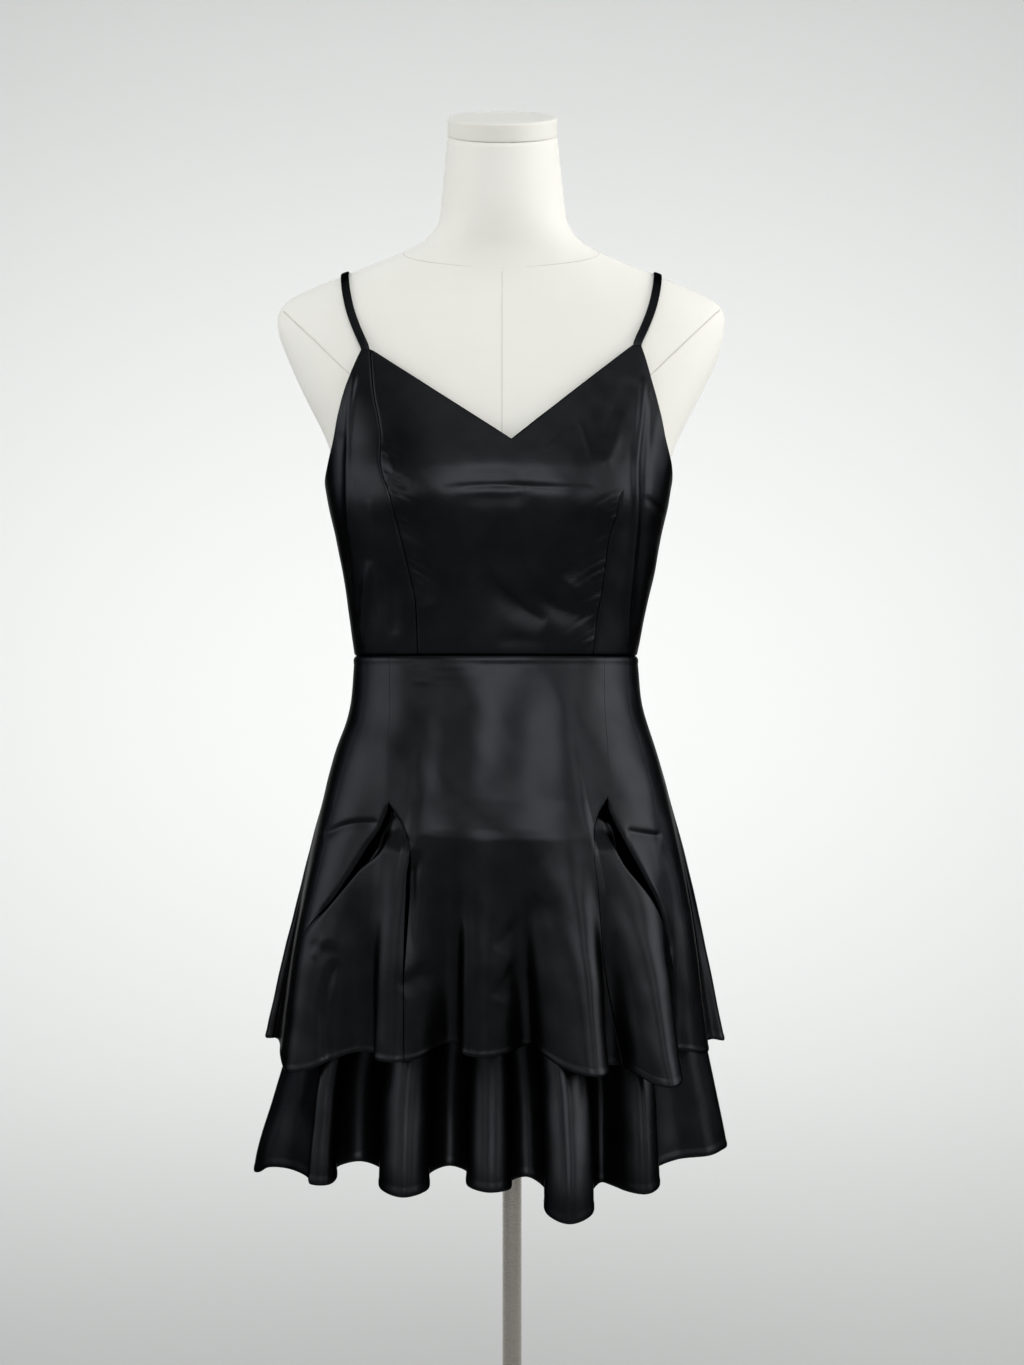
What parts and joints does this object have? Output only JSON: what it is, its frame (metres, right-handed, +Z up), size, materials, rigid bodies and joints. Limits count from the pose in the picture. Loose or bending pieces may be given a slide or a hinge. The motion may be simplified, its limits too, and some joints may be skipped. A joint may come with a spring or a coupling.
{
  "type": "tiered mini cami dress on a dress form",
  "caption": "Short satin dress with thin shoulder straps, V neck and two flared skirt tiers, worn by a limbless dress form on a pole stand.",
  "frame": {"origin": "centre of the underside of the stand's round foot, on the pole's axis", "axes": "+Z up, the dress faces -Y, and +X is to the right of someone who looks at its front"},
  "size_m": [0.4255, 0.3362, 1.4212],
  "materials": {
    "satin": "black satin with a soft sheen",
    "strap_satin": "black satin rouleau strap",
    "form_cover": "off-white woven cover, matt",
    "form_cap": "off-white cloth-covered cap, matt",
    "stand_steel": "satin nickel"
  },
  "bodies": {
    "root": {"upper_back": "satin", "upper_side_left": "satin", "upper_godet_left": "satin", "upper_centre": "satin", "upper_godet_right": "satin", "upper_side_right": "satin", "lower_front": "satin", "lower_back": "satin", "bodice_side_left": "satin", "bodice_front": "satin", "bodice_back_right": "satin", "bodice_back_left": "satin", "strap_left": "strap_satin", "strap_right": "strap_satin", "form_torso": "form_cover", "form_neck_cap": "form_cap", "pole": "stand_steel", "foot_collar": "stand_steel", "foot": "stand_steel"}
  },
  "joints": []
}
